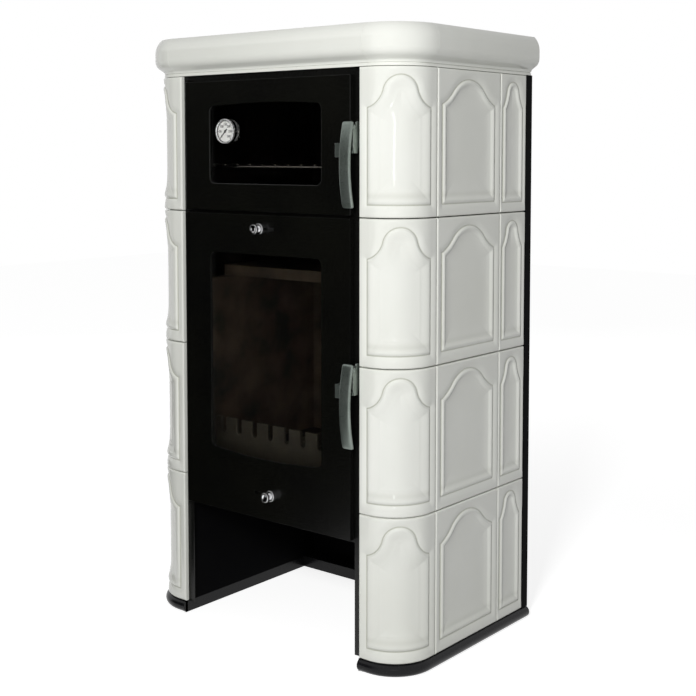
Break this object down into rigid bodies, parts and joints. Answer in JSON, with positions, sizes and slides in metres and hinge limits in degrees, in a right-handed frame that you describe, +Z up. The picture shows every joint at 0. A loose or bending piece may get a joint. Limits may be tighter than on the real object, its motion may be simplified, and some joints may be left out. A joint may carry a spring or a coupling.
{
  "type": "tiled wood stove with oven",
  "caption": "Tiled wood stove: glazed pillars with arched panels, roll cornice, oven door with thermometer, glazed firebox door, wood niche and black plinth.",
  "frame": {"origin": "on the floor, in the middle of the footprint of the tiled body", "axes": "+X to the right as seen from the front, +Y from the doors to the back, +Z up"},
  "size_m": [0.768, 0.503, 1.336],
  "materials": {
    "glazed_tile": "warm white gloss glaze",
    "plinth_enamel": "black gloss",
    "casing_paint": "black satin",
    "front_paint": "black satin",
    "door_enamel": "black semi-gloss",
    "handle_paint": "grey-green satin",
    "knob_chrome": "polished",
    "door_glass": "dark, clear",
    "rope": "woven glass fibre",
    "clip_steel": "zinc plated",
    "firebrick": "matt",
    "boiler_steel": "matt",
    "cast_iron": "matt",
    "oven_enamel": "gloss enamel",
    "rack_steel": "bright",
    "dial_steel": "polished, with a white face",
    "needle_paint": "matt black"
  },
  "bodies": {
    "stove": {"ash_pan": "boiler_steel", "baffle": "firebrick", "corner_tiles_left": "glazed_tile", "corner_tiles_right": "glazed_tile", "cornice": "glazed_tile", "firebox_shell": "boiler_steel", "front_frame": "front_paint", "grate": "cast_iron", "latch_keepers": "clip_steel", "log_guard": "cast_iron", "narrow_tiles_left": "glazed_tile", "narrow_tiles_right": "glazed_tile", "niche_lining": "casing_paint", "oven_box": "oven_enamel", "oven_rack": "rack_steel", "plinth": "plinth_enamel", "rear_brick": "firebrick", "rear_panel": "casing_paint", "side_brick_left": "firebrick", "side_brick_right": "firebrick", "side_casing_left": "casing_paint", "side_casing_right": "casing_paint", "side_tiles_left": "glazed_tile", "side_tiles_right": "glazed_tile", "top_plate": "casing_paint"},
    "oven_door": {"oven_door": "door_enamel", "oven_glass": "door_glass", "oven_glass_clips": "clip_steel", "oven_door_rope": "rope", "thermometer_case": "dial_steel", "oven_handle_bracket": "handle_paint"},
    "oven_lever": {"oven_handle_lever": "handle_paint"},
    "needle": {"thermometer_needle": "needle_paint"},
    "fire_door": {"fire_door": "door_enamel", "fire_glass": "door_glass", "fire_glass_clips": "clip_steel", "fire_door_rope": "rope", "fire_handle_bracket": "handle_paint"},
    "fire_lever": {"fire_handle_lever": "handle_paint"},
    "upper_air_slide": {"upper_air_slide": "knob_chrome"},
    "lower_air_slide": {"lower_air_slide": "knob_chrome"}
  },
  "joints": [
    {"name": "oven_door_hinge", "type": "hinge", "parent": "stove", "child": "oven_door", "pos_m": [-0.231, -0.236, 1.067], "axis": [0, 0, -1], "range_deg": [0, 110]},
    {"name": "oven_lever_pivot", "type": "hinge", "parent": "oven_door", "child": "oven_lever", "pos_m": [0.2405, -0.246, 1.102], "axis": [-1, 0, 0], "range_deg": [0, 32]},
    {"name": "thermometer_pivot", "type": "hinge", "parent": "oven_door", "child": "needle", "pos_m": [-0.112, -0.241, 1.098], "axis": [0, 1, 0], "range_deg": [0, 270]},
    {"name": "fire_door_hinge", "type": "hinge", "parent": "stove", "child": "fire_door", "pos_m": [-0.231, -0.236, 0.59375], "axis": [0, 0, -1], "range_deg": [0, 110]},
    {"name": "fire_lever_pivot", "type": "hinge", "parent": "fire_door", "child": "fire_lever", "pos_m": [0.2405, -0.246, 0.6185], "axis": [-1, 0, 0], "range_deg": [0, 32]},
    {"name": "upper_air_slide_travel", "type": "slide", "parent": "fire_door", "child": "upper_air_slide", "axis": [1, 0, 0], "range_m": [-0.015, 0.037]},
    {"name": "lower_air_slide_travel", "type": "slide", "parent": "fire_door", "child": "lower_air_slide", "axis": [1, 0, 0], "range_m": [-0.044, 0.008]}
  ]
}
